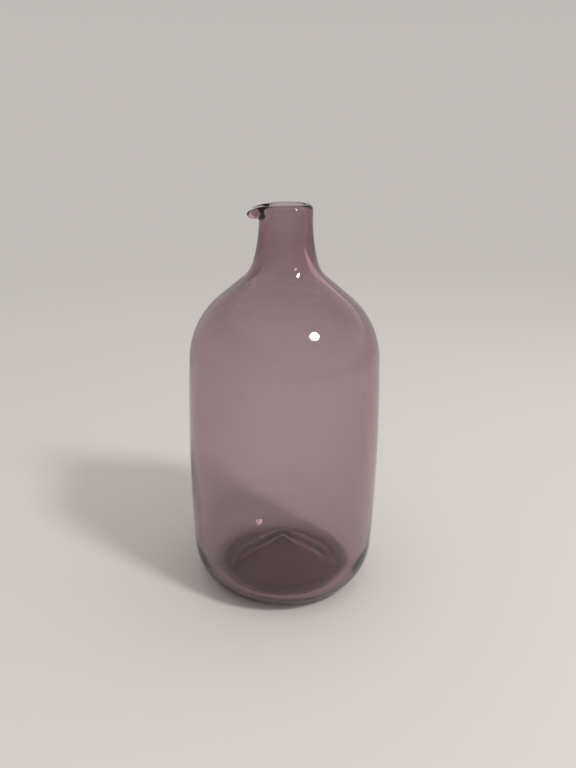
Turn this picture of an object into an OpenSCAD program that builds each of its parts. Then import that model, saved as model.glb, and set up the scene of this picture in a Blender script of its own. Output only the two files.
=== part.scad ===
// Mouth-blown pouring bottle of amethyst glass.
// The origin is the centre of the circle it rests on, +Z runs up its axis and the beak points
// along -X. Every round region is a band of one turned outline, so the bands meet face to face.

/* [Body] */
// Height from the resting ring to the top of the rim
total_h = 235; // [233:0.5:241]
// Radius at the widest part of the body
belly_r = 58; // [54:0.5:60]
// Height of the widest part of the body
belly_z = 87; // [75:1:100]
// Radius of the long, almost straight curve of the body's side
side_arc_r = 1250; // [800:50:3000]
// Glass thickness of the body's wall and the shoulder
wall = 4.2; // [3:0.1:5]

/* [Base] */
// Height at which the rounded heel meets the body's side
heel_h = 25; // [22:1:36]
// How far the rounded heel reaches in under the body
heel_reach = 18; // [16:0.1:19]
// Width of the flat ring that the bottle rests on
ring_w = 2.5; // [2:0.5:4]
// Glass thickness at the lowest part of the inside
floor_t = 6.5; // [5:0.5:9]
// Radius of the circle where the inside is lowest
valley_r = 39; // [37:0.5:41]
// Height of the inside's rounded corner above the resting ring
corner_h = 29; // [25:1:38]

/* [Kick] */
// Half angle of the hollow cone pushed up into the base
kick_angle = 53; // [51:1:57]
// Radius of the hollow cone's tip
kick_tip_r = 3.5; // [2:0.5:6]
// Radius of the curve from the resting ring into the hollow cone
kick_foot_r = 7; // [4:0.5:9]
// Half angle of the glass hill over the cone, seen from inside
hill_angle = 57; // [55:1:61]
// Radius of the hill's top
hill_tip_r = 11; // [8:0.5:13]
// Radius of the curve from the hill into the lowest part of the inside
hill_foot_r = 13; // [9:0.5:15]

/* [Shoulder] */
// Height at which the shoulder starts to curve in
shoulder_z = 146.5; // [143:0.5:148]
// Radius of the shoulder's outward curve
shoulder_arc_r = 49; // [44:0.5:52]
// Steepest lean of the shoulder, from the vertical
shoulder_lean = 50.5; // [49:0.5:54]
// Outside radius of the hollow curve from the shoulder to the neck
throat_arc_r = 19.5; // [15:0.5:24]
// Inside radius of the same curve
throat_arc_in_r = 24; // [20:0.5:28]

/* [Neck] */
// Outside diameter of the straight top of the neck
neck_d = 30.5; // [30:0.5:32]
// Lean of the neck's outside where it leaves the hollow curve
neck_lean = 15; // [12:1:18]
// Radius of the long curve up the outside of the neck
neck_arc_r = 95; // [80:1:100]
// Diameter of the straight bore
bore_d = 19.6; // [18:0.1:20]
// Lean of the neck's inside where it leaves the hollow curve
bore_lean = 20; // [16:1:21]
// Radius of the long curve up the inside of the neck
bore_arc_r = 52; // [40:1:56]

/* [Rim and beak] */
// Height of the rim above the neck
rim_h = 6; // [5:0.5:7]
// Radius of the rim's outer edge, rounded by the fire
rim_out_r = 3; // [2:0.1:3]
// Radius of the rim's inner edge
rim_in_r = 2.2; // [1.5:0.1:2.3]
// Distance from the bottle's axis to the tip of the beak
beak_reach = 21.8; // [20:0.1:24]
// Height of the beak's lowest point below the rim
beak_drop = 8.6; // [8:0.1:10]
// Radius of the beak's rounded tip
beak_tip_r = 3; // [2.6:0.1:3.4]
// Radius of the beak's rounded root
beak_root_r = 4; // [3.5:0.1:4.4]
// Distance between the two sides of the beak's root
beak_root_w = 9; // [7:0.5:11]
// Depth of the top of the beak's root below the rim
beak_root_drop = 0.4; // [0.2:0.1:1]
// Radius of the pouring channel at the mouth
channel_root_r = 3.4; // [3:0.1:3.6]
// Radius of the pouring channel at the tip
channel_tip_r = 1.6; // [1.2:0.1:1.8]

/* [Hidden] */
$fn = 96;
AMETHYST = [0.52, 0.40, 0.46, 0.55];
SIDE_STEPS = 8;
CORNER_STEPS = 14;
ARC_STEPS = 12;
HULL_FN = 32;

ring_out_r = side_r(0) - heel_reach;
ring_in_r = ring_out_r - ring_w;
bore_r = bore_d / 2;
neck_r = neck_d / 2;
rim_z = total_h - rim_h;
side_lean = atan((shoulder_z - belly_z) / side_arc_r);
// The pouring channel's axis starts inside the mouth and drops by one part in five on its way out
channel_start = [-9, 0, total_h - 0.7];
channel_fall = 11.5;
channel_l = 16;

function last(points) = points[len(points) - 1];
function reverse(points) = [for (i = [len(points) - 1:-1:0]) points[i]];

// Outside radius of the body's side, which bows out slightly
function side_r(z) = belly_r - pow(z - belly_z, 2) / (2 * side_arc_r);

// Points of an arc that carries on from p. A line's lean is its angle from the vertical, towards
// the axis: the arc leans lean_a where it starts and lean_b where it ends.
function arc(p, radius, lean_a, lean_b) =
    [for (i = [1:ARC_STEPS])
        let (lean = lean_a + (lean_b - lean_a) * i / ARC_STEPS)
        p + sign(lean_b - lean_a) * radius
            * [cos(lean) - cos(lean_a), sin(lean) - sin(lean_a)]];

// Rounded corner between a flat bottom and the body's side, from the bottom upwards
function corner(bottom_z, top_z, reach, inset) =
    [for (i = [0:CORNER_STEPS])
        let (turn = 90 - 90 * i / CORNER_STEPS, z = top_z - (top_z - bottom_z) * sin(turn))
        [side_r(z) - inset - reach * (1 - cos(turn)), z]];

// A cone with a rounded foot and tip, from its foot in to the axis
function hill(foot, foot_r, tip_r, half_angle) =
    let (flank = (foot.x - (foot_r + tip_r) * cos(half_angle)) / sin(half_angle),
         rise = arc(foot, foot_r, 90, half_angle),
         top = last(rise) + flank * [-sin(half_angle), cos(half_angle)],
         tip = arc(top, tip_r, half_angle, 90))
    concat([foot], rise, [top], [for (i = [0:ARC_STEPS - 2]) tip[i]], [[0, last(tip).y]]);

// The shoulder's dome, its straight flank, the hollow curve and the neck, from the bottom up
function dome_to_neck(foot, dome_r, hollow_r, lean, long_r, end_r) =
    let (dome = arc(foot, dome_r, side_lean, shoulder_lean),
         hollow_w = hollow_r * (cos(lean) - cos(shoulder_lean)),
         long_w = long_r * (1 - cos(lean)),
         flank = (last(dome).x - hollow_w - long_w - end_r) / sin(shoulder_lean),
         flank_end = last(dome) + flank * [-sin(shoulder_lean), cos(shoulder_lean)],
         hollow = arc(flank_end, hollow_r, shoulder_lean, lean))
    concat([foot], dome, [flank_end], hollow, arc(last(hollow), long_r, lean, 0));

function side(bottom_z, inset) =
    [for (i = [1:SIDE_STEPS - 1])
        let (z = bottom_z + (shoulder_z - bottom_z) * i / SIDE_STEPS)
        [side_r(z) - inset, z]];

// The rim's two rounded edges, from the outside over the top into the bore
function rim() =
    concat([[neck_r, total_h - rim_out_r]],
           arc([neck_r, total_h - rim_out_r], rim_out_r, 0, 90),
           [for (i = [0:ARC_STEPS])
               let (turn = 90 - 90 * i / ARC_STEPS)
               [bore_r + rim_in_r * (1 - cos(turn)), total_h - rim_in_r * (1 - sin(turn))]]);

outside = concat(
    reverse(hill([ring_in_r, 0], kick_foot_r, kick_tip_r, kick_angle)),
    corner(0, heel_h, heel_reach, 0),
    side(heel_h, 0),
    dome_to_neck([side_r(shoulder_z), shoulder_z], shoulder_arc_r, throat_arc_r,
                 neck_lean, neck_arc_r, neck_r));

inner_reach = side_r(floor_t) - wall - valley_r;
inside = concat(
    reverse(hill([valley_r, floor_t], hill_foot_r, hill_tip_r, hill_angle)),
    [for (i = [1:CORNER_STEPS]) corner(floor_t, corner_h, inner_reach, wall)[i]],
    side(corner_h, wall),
    dome_to_neck([side_r(shoulder_z) - wall, shoulder_z], shoulder_arc_r - wall, throat_arc_in_r,
                 bore_lean, bore_arc_r, bore_r));

hill_h = inside[0].y;
// The neck starts where the outside's hollow curve ends
neck_z = outside[len(outside) - 1 - ARC_STEPS].y;

// The glass between two radii and two heights
module glass_band(r_a, r_b, z_a, z_b) {
    color(AMETHYST) rotate_extrude()
        intersection() {
            polygon(concat(outside, rim(), reverse(inside)));
            translate([r_a, z_a]) square([r_b - r_a, z_b - z_a]);
        }
}

module channel() {
    translate(channel_start)
        rotate([0, -90 - channel_fall, 0])
            cylinder(r1 = channel_root_r, r2 = channel_tip_r, h = channel_l);
}

// The hollow cone pushed up into the base, which stiffens it and lifts it off the table
module base_kick() {
    glass_band(0, ring_in_r, 0, hill_h);
}

// The rounded heel with the flat ring that the bottle rests on
module base_heel() {
    glass_band(ring_in_r, belly_r, 0, heel_h);
}

module body_wall() {
    glass_band(ring_in_r, belly_r, heel_h, shoulder_z);
}

module shoulder() {
    glass_band(0, belly_r, shoulder_z, neck_z);
}

module neck() {
    glass_band(0, belly_r, neck_z, rim_z);
}

// The fire-rounded rim, notched where the pouring channel leaves it
module mouth_rim() {
    difference() {
        glass_band(0, belly_r, rim_z, total_h);
        color(AMETHYST) channel();
    }
}

// The drooping lip pulled out of the rim, outside the neck's own cylinder
module pouring_beak() {
    root_x = beak_root_r - neck_r;
    root_z = total_h - beak_root_r - beak_root_drop;
    tip_x = beak_tip_r - beak_reach;
    tip_z = total_h - beak_drop + beak_tip_r;
    color(AMETHYST) difference() {
        hull() {
            for (side = [-1, 1])
                translate([root_x, side * beak_root_w / 2, root_z])
                    sphere(r = beak_root_r, $fn = HULL_FN);
            translate([tip_x, 0, tip_z]) sphere(r = beak_tip_r, $fn = HULL_FN);
        }
        translate([0, 0, total_h - 2 * rim_h]) cylinder(r = neck_r, h = 3 * rim_h);
        channel();
    }
}

base_kick();
base_heel();
body_wall();
shoulder();
neck();
mouth_rim();
pouring_beak();
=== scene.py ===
"""Looks of the pouring bottle: one closed skin of blown glass, on a pale floor."""
import math

import bpy
import numpy as np
from mathutils import Matrix, Vector


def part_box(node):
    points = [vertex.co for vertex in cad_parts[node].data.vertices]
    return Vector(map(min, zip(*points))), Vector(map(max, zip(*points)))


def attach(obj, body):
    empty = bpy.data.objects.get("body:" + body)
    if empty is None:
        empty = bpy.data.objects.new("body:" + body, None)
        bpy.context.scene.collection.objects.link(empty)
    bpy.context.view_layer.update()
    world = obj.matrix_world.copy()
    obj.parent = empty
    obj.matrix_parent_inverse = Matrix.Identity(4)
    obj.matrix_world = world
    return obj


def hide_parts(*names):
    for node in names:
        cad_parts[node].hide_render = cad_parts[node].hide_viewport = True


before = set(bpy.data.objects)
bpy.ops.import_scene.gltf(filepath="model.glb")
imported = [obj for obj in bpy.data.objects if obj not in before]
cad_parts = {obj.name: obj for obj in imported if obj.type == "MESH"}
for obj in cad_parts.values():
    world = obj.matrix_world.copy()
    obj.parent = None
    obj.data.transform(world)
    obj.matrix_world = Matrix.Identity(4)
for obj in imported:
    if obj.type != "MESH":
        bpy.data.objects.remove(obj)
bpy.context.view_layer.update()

# Places that the CAD regions give, in metres
TOTAL_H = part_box("mouth_rim")[1].z
RIM_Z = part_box("neck")[1].z
NECK_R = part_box("mouth_rim")[1].x
LIP_WALL = 0.00545
BORE_R = NECK_R - LIP_WALL
SHOULDER_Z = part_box("body_wall")[1].z
HEEL_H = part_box("base_heel")[1].z
BELLY_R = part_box("body_wall")[1].x
RING_IN_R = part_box("base_kick")[1].x
BEAK_SIDE = math.atan2(0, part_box("pouring_beak")[0].x)

# The curves between those places
BELLY_Z = 0.087
SIDE_ARC_R = 1.25
WALL = 0.0042
HEEL_REACH = 0.018
FLOOR_T = 0.0065
VALLEY_R = 0.039
CORNER_H = 0.029
KICK_ANGLE = math.radians(53)
KICK_TIP_R = 0.0035
KICK_FOOT_R = 0.007
HILL_ANGLE = math.radians(57)
HILL_TIP_R = 0.011
HILL_FOOT_R = 0.013
SHOULDER_ARC_R = 0.049
SHOULDER_LEAN = math.radians(50.5)
THROAT_ARC_R = 0.0195
THROAT_ARC_IN_R = 0.024
NECK_LEAN = math.radians(15)
NECK_ARC_R = 0.095
BORE_LEAN = math.radians(20)
BORE_ARC_R = 0.052
RIM_OUT_R = 0.003
RIM_IN_R = 0.0022

# How finely the curves are cut: distances along the outline, and faces round the axis
STEP = 0.0014
LIP_STEP = 0.0005
SIDE_STEP = 1.5 * STEP
CORNER_CROWDING = 1.3
SEGMENTS = 288


def side_r(z):
    """Outside radius of the body's side, which bows out slightly."""
    return BELLY_R - (z - BELLY_Z) ** 2 / (2 * SIDE_ARC_R)


def line(a, b, step=STEP):
    """Points from a to b, without a."""
    count = max(1, math.ceil(math.dist(a, b) / step))
    return [
        (a[0] + (b[0] - a[0]) * i / count, a[1] + (b[1] - a[1]) * i / count)
        for i in range(1, count + 1)
    ]


def arc(p, radius, lean_a, lean_b, step=STEP):
    """Points of an arc that carries on from p. A lean is the angle from the vertical, inwards."""
    count = max(3, math.ceil(abs(lean_b - lean_a) * radius / step))
    side = math.copysign(radius, lean_b - lean_a)
    leans = [lean_a + (lean_b - lean_a) * i / count for i in range(1, count + 1)]
    return [
        (p[0] + side * (math.cos(lean) - math.cos(lean_a)),
         p[1] + side * (math.sin(lean) - math.sin(lean_a)))
        for lean in leans
    ]


def corner(bottom_z, top_z, reach, inset):
    """Rounded corner between a flat bottom and the body's side, from the bottom upwards."""
    count = math.ceil(CORNER_CROWDING * (top_z - bottom_z) / STEP)
    points = []
    for i in range(count + 1):
        turn = math.pi / 2 * (1 - i / count)
        z = top_z - (top_z - bottom_z) * math.sin(turn)
        points.append((side_r(z) - inset - reach * (1 - math.cos(turn)), z))
    return points


def hill(foot, foot_r, tip_r, half_angle):
    """A cone with a rounded foot and tip, from its foot in to the axis."""
    flank = (foot[0] - (foot_r + tip_r) * math.cos(half_angle)) / math.sin(half_angle)
    rise = [foot] + arc(foot, foot_r, math.pi / 2, half_angle)
    top = (rise[-1][0] - flank * math.sin(half_angle), rise[-1][1] + flank * math.cos(half_angle))
    rise += line(rise[-1], top)
    tip = arc(top, tip_r, half_angle, math.pi / 2, step=LIP_STEP)
    return rise + tip[:-1] + [(0.0, tip[-1][1])]


def dome_to_neck(foot, dome_r, hollow_r, lean, long_r, end_r):
    """The shoulder's dome, its straight flank, the hollow curve and the neck, from the bottom up."""
    side_lean = math.atan((SHOULDER_Z - BELLY_Z) / SIDE_ARC_R)
    dome = arc(foot, dome_r, side_lean, SHOULDER_LEAN)
    hollow_w = hollow_r * (math.cos(lean) - math.cos(SHOULDER_LEAN))
    long_w = long_r * (1 - math.cos(lean))
    flank = (dome[-1][0] - hollow_w - long_w - end_r) / math.sin(SHOULDER_LEAN)
    flank_end = (dome[-1][0] - flank * math.sin(SHOULDER_LEAN),
                 dome[-1][1] + flank * math.cos(SHOULDER_LEAN))
    hollow = arc(flank_end, hollow_r, SHOULDER_LEAN, lean, step=STEP / 2)
    top = arc(hollow[-1], long_r, lean, 0, step=STEP / 2)
    return dome + line(dome[-1], flank_end) + hollow + top


def side(bottom_z, inset):
    """The body's side from a height up to the shoulder."""
    count = math.ceil((SHOULDER_Z - bottom_z) / SIDE_STEP)
    heights = [bottom_z + (SHOULDER_Z - bottom_z) * i / count for i in range(1, count + 1)]
    return [(side_r(z) - inset, z) for z in heights]


def outer_outline():
    """The outside, from the tip of the hollow cone under the base up to the rim's top."""
    points = hill((RING_IN_R, 0.0), KICK_FOOT_R, KICK_TIP_R, KICK_ANGLE)[::-1]
    points += line(points[-1], (side_r(0) - HEEL_REACH, 0.0))
    points += corner(0.0, HEEL_H, HEEL_REACH, 0.0)[1:]
    points += side(HEEL_H, 0.0)
    points += dome_to_neck(points[-1], SHOULDER_ARC_R, THROAT_ARC_R,
                           NECK_LEAN, NECK_ARC_R, NECK_R)
    points += line(points[-1], (NECK_R, TOTAL_H - RIM_OUT_R), LIP_STEP)
    points += arc(points[-1], RIM_OUT_R, 0, math.pi / 2, LIP_STEP / 2)
    return points


def inner_outline():
    """The inside, from the tip of the hill in the base up to the rim's top."""
    points = hill((VALLEY_R, FLOOR_T), HILL_FOOT_R, HILL_TIP_R, HILL_ANGLE)[::-1]
    points += corner(FLOOR_T, CORNER_H, side_r(FLOOR_T) - WALL - VALLEY_R, WALL)[1:]
    points += side(CORNER_H, WALL)
    points += dome_to_neck(points[-1], SHOULDER_ARC_R - WALL, THROAT_ARC_IN_R,
                           BORE_LEAN, BORE_ARC_R, BORE_R)
    points += line(points[-1], (BORE_R, TOTAL_H - RIM_IN_R), LIP_STEP)
    edge = arc((BORE_R, TOTAL_H - RIM_IN_R), RIM_IN_R, 0, math.pi / 2, LIP_STEP / 2)
    return points + [(2 * BORE_R - r, z) for r, z in edge]


# Handmade unevenness
OUTER_WAVER = 0.00005
INNER_WAVER = 0.00012
RIPPLE_H = 0.00002
RIPPLE_PITCH = 0.0042
# The distances over which the unevenness fades out towards the ring and rim, and the ripple upwards
WAVER_FADE = 0.03
RIPPLE_FADE = 0.01


def waver(angle, height, phase):
    """A slow, smooth unevenness between -1 and 1 round and up the glass."""
    h = height / TOTAL_H
    return (
        np.sin(2 * angle + 5 * h + phase)
        + np.sin(3 * angle - 11 * h + 2.1 * phase)
        + np.sin(5 * angle + 19 * h + 0.7 * phase)
    ) / 3


# The beak: the rim's wall bends outwards round a low place on the neck
BEND_Z = TOTAL_H - 0.0105
BEND_H = 0.0085
BEAK_TURN = math.radians(85)
BEAK_STRETCH = 0.37
BEAK_THINNING = 0.1
BEAK_SPREAD = math.radians(27)
BEAK_SQUARENESS = 3.2
BEAK_SAG = 0.001
BEAK_SAG_SPREAD = math.radians(55)
BEND_STEPS = 200


def pull_beak(r, z, pull, sag):
    """Bends one outline of the neck's top outwards. pull is 1 mid-beak and 0 away from it."""
    mid_r = (NECK_R + BORE_R) / 2
    height = np.linspace(0, TOTAL_H - BEND_Z, BEND_STEPS)
    u = np.clip(height / BEND_H, 0, 1)
    lean = BEAK_TURN * pull * u * u * (3 - 2 * u)
    step = np.diff(height)
    reach = np.sin(lean)[:-1] * step * (1 + BEAK_STRETCH * pull)
    middle_r = mid_r + np.concatenate([[0], np.cumsum(reach)])
    middle_z = BEND_Z + np.concatenate([[0], np.cumsum(np.cos(lean)[:-1] * step)])
    h = np.clip(z - BEND_Z, 0, None)
    out = (r - mid_r) * (1 - BEAK_THINNING * pull * h / height[-1])
    turned = np.interp(h, height, lean)
    bent_r = np.interp(h, height, middle_r) + out * np.cos(turned)
    bent_z = np.interp(h, height, middle_z) - out * np.sin(turned) - sag * (h / height[-1]) ** 2
    above = z > BEND_Z
    return np.where(above, bent_r, r), np.where(above, bent_z, z)


def glass_mesh():
    """The bottle's whole skin as one closed surface of rings between a pole below and a pole above."""
    outer = np.array(outer_outline())
    inner = np.array(inner_outline()[::-1])[1:]
    angles = np.arange(SEGMENTS) * 2 * math.pi / SEGMENTS
    r, z = np.concatenate([outer, inner])[:, :, None].transpose(1, 0, 2)
    inside = (np.arange(len(r)) >= len(outer))[:, None]
    upright = np.clip(z / WAVER_FADE, 0, 1) * np.clip((RIM_Z - z) / WAVER_FADE, 0, 1)
    # The outside only ever dips below the true outline, so that it stays inside the CAD's box
    uneven = np.where(inside, INNER_WAVER * waver(angles, z, 2.9),
                      OUTER_WAVER * (waver(angles, z, 0.4) - 1))
    ripple = RIPPLE_H * np.cos(2 * math.pi * r / RIPPLE_PITCH)
    ripple = ripple * np.clip((CORNER_H - z) / RIPPLE_FADE, 0, 1)
    r = r + uneven * upright
    z = np.repeat(z + np.where(inside, ripple, 0), SEGMENTS, axis=1)
    off = (angles - BEAK_SIDE + math.pi) % (2 * math.pi) - math.pi
    pulls = np.exp(-np.abs(off / BEAK_SPREAD) ** BEAK_SQUARENESS)
    sags = BEAK_SAG * np.exp(-((off / BEAK_SAG_SPREAD) ** 2))
    for j in range(SEGMENTS):
        r[:, j], z[:, j] = pull_beak(r[:, j], z[:, j], pulls[j], sags[j])
    rings = np.stack([r * np.cos(angles), r * np.sin(angles), z], axis=-1)[1:-1]
    verts = [(0.0, 0.0, outer[0][1])] + rings.reshape(-1, 3).tolist() + [(0.0, 0.0, inner[-1][1])]
    top = len(verts) - 1
    last = top - SEGMENTS
    faces = []
    for j in range(SEGMENTS):
        k = (j + 1) % SEGMENTS
        faces.append((0, 1 + k, 1 + j))
        faces.append((top, last + j, last + k))
        for a in range(1, last, SEGMENTS):
            faces.append((a + j, a + k, a + SEGMENTS + k, a + SEGMENTS + j))
    mesh = bpy.data.meshes.new("bottle_glass")
    mesh.from_pydata(verts, [], faces)
    mesh.polygons.foreach_set("use_smooth", [True] * len(mesh.polygons))
    mesh.update()
    return mesh


def add_node(tree, kind, settings=None, **inputs):
    """A new shader node. An input is a plain value, or an output socket to link from.

    Inputs that share a name are given by number, as in _0.
    """
    made = tree.nodes.new(kind)
    for name, value in (settings or {}).items():
        setattr(made, name, value)
    for name, value in inputs.items():
        by_number = name[0] == "_"
        socket = made.inputs[int(name[1:]) if by_number else name.replace("_", " ")]
        if isinstance(value, bpy.types.NodeSocket):
            tree.links.new(value, socket)
        else:
            socket.default_value = value
    return made


# Almost all of the glass's colour comes from its depth: what is left of white light on the way
DEPTH_COLOUR = (0.362, 0.062, 0.155, 1)
DEPTH_DENSITY = 110.0
# What one wall lets through apart from that, on the body and on the neck
BODY_TINT = (0.975, 0.965, 0.970, 1)
NECK_TINT = (0.960, 0.945, 0.950, 1)
# The neck's own tint is reached this far below the rim
NECK_TINT_DROP = 0.01
STREAK_TINT = (0.95, 0.93, 0.94, 1)
STREAK_SCALE = (16, 16, 4)
GLASS_IOR = 1.5
POLISH = 0.012
# The worn ring: its roughness, and the heights between which the wear fades out
RING_FROST = 0.7
WEAR_FROM = 0.0001
WEAR_TO = 0.0012
GRIT_SCALE = 900.0
# The waves in the surface
WAVE_SCALE = 38.0
WAVE_STRENGTH = 0.06
WAVE_DISTANCE = 0.001


def amethyst_glass():
    material = bpy.data.materials.new("amethyst_glass")
    material.use_nodes = True
    tree = material.node_tree
    tree.nodes.clear()
    where = add_node(tree, "ShaderNodeTexCoord").outputs["Object"]
    height = add_node(tree, "ShaderNodeSeparateXYZ", Vector=where).outputs["Z"]

    gather = add_node(tree, "ShaderNodeMapRange", {"interpolation_type": "SMOOTHSTEP"},
                      Value=height, From_Min=SHOULDER_Z,
                      From_Max=RIM_Z - NECK_TINT_DROP).outputs["Result"]
    tint = add_node(tree, "ShaderNodeMix", {"data_type": "RGBA"},
                    _0=gather, _6=BODY_TINT, _7=NECK_TINT).outputs[2]
    streak_space = add_node(tree, "ShaderNodeMapping", Vector=where,
                            Scale=STREAK_SCALE).outputs["Vector"]
    streaks = add_node(tree, "ShaderNodeTexNoise", Vector=streak_space, Scale=1.0, Detail=1.5,
                       Roughness=0.4, Distortion=0.6).outputs["Fac"]
    streaky = add_node(tree, "ShaderNodeMix", {"data_type": "RGBA", "blend_type": "MULTIPLY"},
                       _0=streaks, _6=tint, _7=STREAK_TINT).outputs[2]

    worn = add_node(tree, "ShaderNodeMapRange", {"interpolation_type": "SMOOTHSTEP"},
                    Value=height, From_Min=WEAR_FROM, From_Max=WEAR_TO,
                    To_Min=1.0, To_Max=0.0).outputs["Result"]
    grit = add_node(tree, "ShaderNodeTexNoise", Vector=where, Scale=GRIT_SCALE,
                    Detail=4.0).outputs["Fac"]
    frost = add_node(tree, "ShaderNodeMath", {"operation": "MULTIPLY"}, _0=worn, _1=grit).outputs[0]
    rough = add_node(tree, "ShaderNodeMath", {"operation": "MULTIPLY_ADD"},
                     _0=frost, _1=RING_FROST, _2=POLISH).outputs[0]

    waves = add_node(tree, "ShaderNodeTexNoise", Vector=where, Scale=WAVE_SCALE,
                     Detail=1.0).outputs["Fac"]
    bump = add_node(tree, "ShaderNodeBump", Height=waves, Strength=WAVE_STRENGTH,
                    Distance=WAVE_DISTANCE).outputs["Normal"]

    shader = add_node(tree, "ShaderNodeBsdfPrincipled", Base_Color=streaky, Roughness=rough,
                      IOR=GLASS_IOR, Transmission_Weight=1.0, Normal=bump)
    volume = add_node(tree, "ShaderNodeVolumeAbsorption", Color=DEPTH_COLOUR,
                      Density=DEPTH_DENSITY)
    output = tree.nodes.new("ShaderNodeOutputMaterial")
    tree.links.new(shader.outputs["BSDF"], output.inputs["Surface"])
    tree.links.new(volume.outputs["Volume"], output.inputs["Volume"])
    return material


def make_bottle():
    bottle = bpy.data.objects.new("bottle_glass", glass_mesh())
    bpy.context.scene.collection.objects.link(bottle)
    bottle.data.materials.append(amethyst_glass())
    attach(bottle, "root")
    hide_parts("base_kick", "base_heel", "body_wall", "shoulder", "neck", "mouth_rim",
                "pouring_beak")


# The studio. PALE is the lit floor's own colour, so that the floor fades into it without an edge
PALE = (0.535, 0.505, 0.483, 1)
OVERHEAD = (0.30, 0.29, 0.285, 1)
FLOOR_PAINT = (0.55, 0.523, 0.502, 1)
FLOOR_R = 4.0
FLOOR_SIDES = 96
FLOOR_DROP = 0.0002
FLOOR_FADE = (0.5, 1.4)
KEY_PLACE = (0.85, -0.74, 1.31)
KEY_SIZE = 0.28
KEY_POWER = 15.0
CEILING_POWER = 1.75
CEILING_SPREAD = math.radians(140)
CEILING_LEAN = math.radians(20)

# The camera
CAMERA_PLACE = (0, -0.4281, 0.2803)
CAMERA_DIP = math.radians(19.55)
CAMERA_ROLL = math.radians(0.58)
CAMERA_SHIFT = 0.0048
LENS = 35.16
SENSOR = 36
LIGHT_BOUNCES = 24


def make_floor():
    mesh = bpy.data.meshes.new("floor")
    angles = [2 * math.pi * i / FLOOR_SIDES for i in range(FLOOR_SIDES)]
    corners = [(FLOOR_R * math.cos(a), FLOOR_R * math.sin(a), -FLOOR_DROP) for a in angles]
    mesh.from_pydata(corners, [], [tuple(range(FLOOR_SIDES))])
    floor = bpy.data.objects.new("floor", mesh)
    bpy.context.scene.collection.objects.link(floor)
    material = bpy.data.materials.new("pale_floor")
    material.use_nodes = True
    tree = material.node_tree
    tree.nodes.clear()
    where = add_node(tree, "ShaderNodeTexCoord").outputs["Object"]
    away = add_node(tree, "ShaderNodeVectorMath", {"operation": "LENGTH"},
                    _0=where).outputs["Value"]
    fade = add_node(tree, "ShaderNodeMapRange", {"interpolation_type": "SMOOTHSTEP"}, Value=away,
                    From_Min=FLOOR_FADE[0], From_Max=FLOOR_FADE[1]).outputs["Result"]
    paint = add_node(tree, "ShaderNodeBsdfDiffuse", Color=FLOOR_PAINT)
    clear = tree.nodes.new("ShaderNodeBsdfTransparent")
    mix = add_node(tree, "ShaderNodeMixShader", _0=fade, _1=paint.outputs[0], _2=clear.outputs[0])
    output = tree.nodes.new("ShaderNodeOutputMaterial")
    tree.links.new(mix.outputs[0], output.inputs["Surface"])
    mesh.materials.append(material)


def make_world():
    world = bpy.data.worlds.new("studio")
    world.use_nodes = True
    tree = world.node_tree
    tree.nodes.clear()
    where = add_node(tree, "ShaderNodeTexCoord").outputs["Generated"]
    height = add_node(tree, "ShaderNodeSeparateXYZ", Vector=where).outputs["Z"]
    upper = add_node(tree, "ShaderNodeMapRange", {"interpolation_type": "SMOOTHSTEP"},
                     Value=height, From_Min=0.05, From_Max=0.6).outputs["Result"]
    colour = add_node(tree, "ShaderNodeMix", {"data_type": "RGBA"},
                      _0=upper, _6=PALE, _7=OVERHEAD).outputs[2]
    background = add_node(tree, "ShaderNodeBackground", Color=colour, Strength=1.0)
    output = tree.nodes.new("ShaderNodeOutputWorld")
    tree.links.new(background.outputs[0], output.inputs["Surface"])
    bpy.context.scene.world = world


def make_key_lamp():
    """A small round lamp on the right and in front: it gives the glass its sharp highlights."""
    data = bpy.data.lights.new("key", "AREA")
    data.shape = "DISK"
    data.size = KEY_SIZE
    data.energy = KEY_POWER
    lamp = bpy.data.objects.new("key", data)
    place = Vector(KEY_PLACE)
    aim = Vector((0, 0, TOTAL_H / 2)) - place
    turn = aim.to_track_quat("-Z", "Y").to_matrix().to_4x4()
    lamp.matrix_world = Matrix.Translation(place) @ turn
    lamp.visible_camera = False
    bpy.context.scene.collection.objects.link(lamp)


def make_ceiling_light():
    """Wide, even light from above. The glass doesn't mirror it."""
    data = bpy.data.lights.new("ceiling", "SUN")
    data.energy = CEILING_POWER
    data.angle = CEILING_SPREAD
    lamp = bpy.data.objects.new("ceiling", data)
    lamp.matrix_world = Matrix.Rotation(CEILING_LEAN, 4, "Y")
    lamp.visible_camera = False
    lamp.visible_glossy = False
    bpy.context.scene.collection.objects.link(lamp)


def make_camera():
    data = bpy.data.cameras.new("camera")
    data.lens = LENS
    data.sensor_width = SENSOR
    data.shift_x = CAMERA_SHIFT
    camera = bpy.data.objects.new("camera", data)
    place = Matrix.Translation(CAMERA_PLACE)
    tilt = Matrix.Rotation(math.pi / 2 - CAMERA_DIP, 4, "X")
    roll = Matrix.Rotation(CAMERA_ROLL, 4, "Z")
    camera.matrix_world = place @ tilt @ roll
    bpy.context.scene.collection.objects.link(camera)
    bpy.context.scene.camera = camera


make_bottle()
make_floor()
make_world()
make_key_lamp()
make_ceiling_light()
make_camera()
bpy.context.scene.view_settings.view_transform = "Standard"
bpy.context.scene.cycles.max_bounces = LIGHT_BOUNCES
bpy.context.scene.cycles.transmission_bounces = LIGHT_BOUNCES
bpy.context.scene.cycles.glossy_bounces = LIGHT_BOUNCES
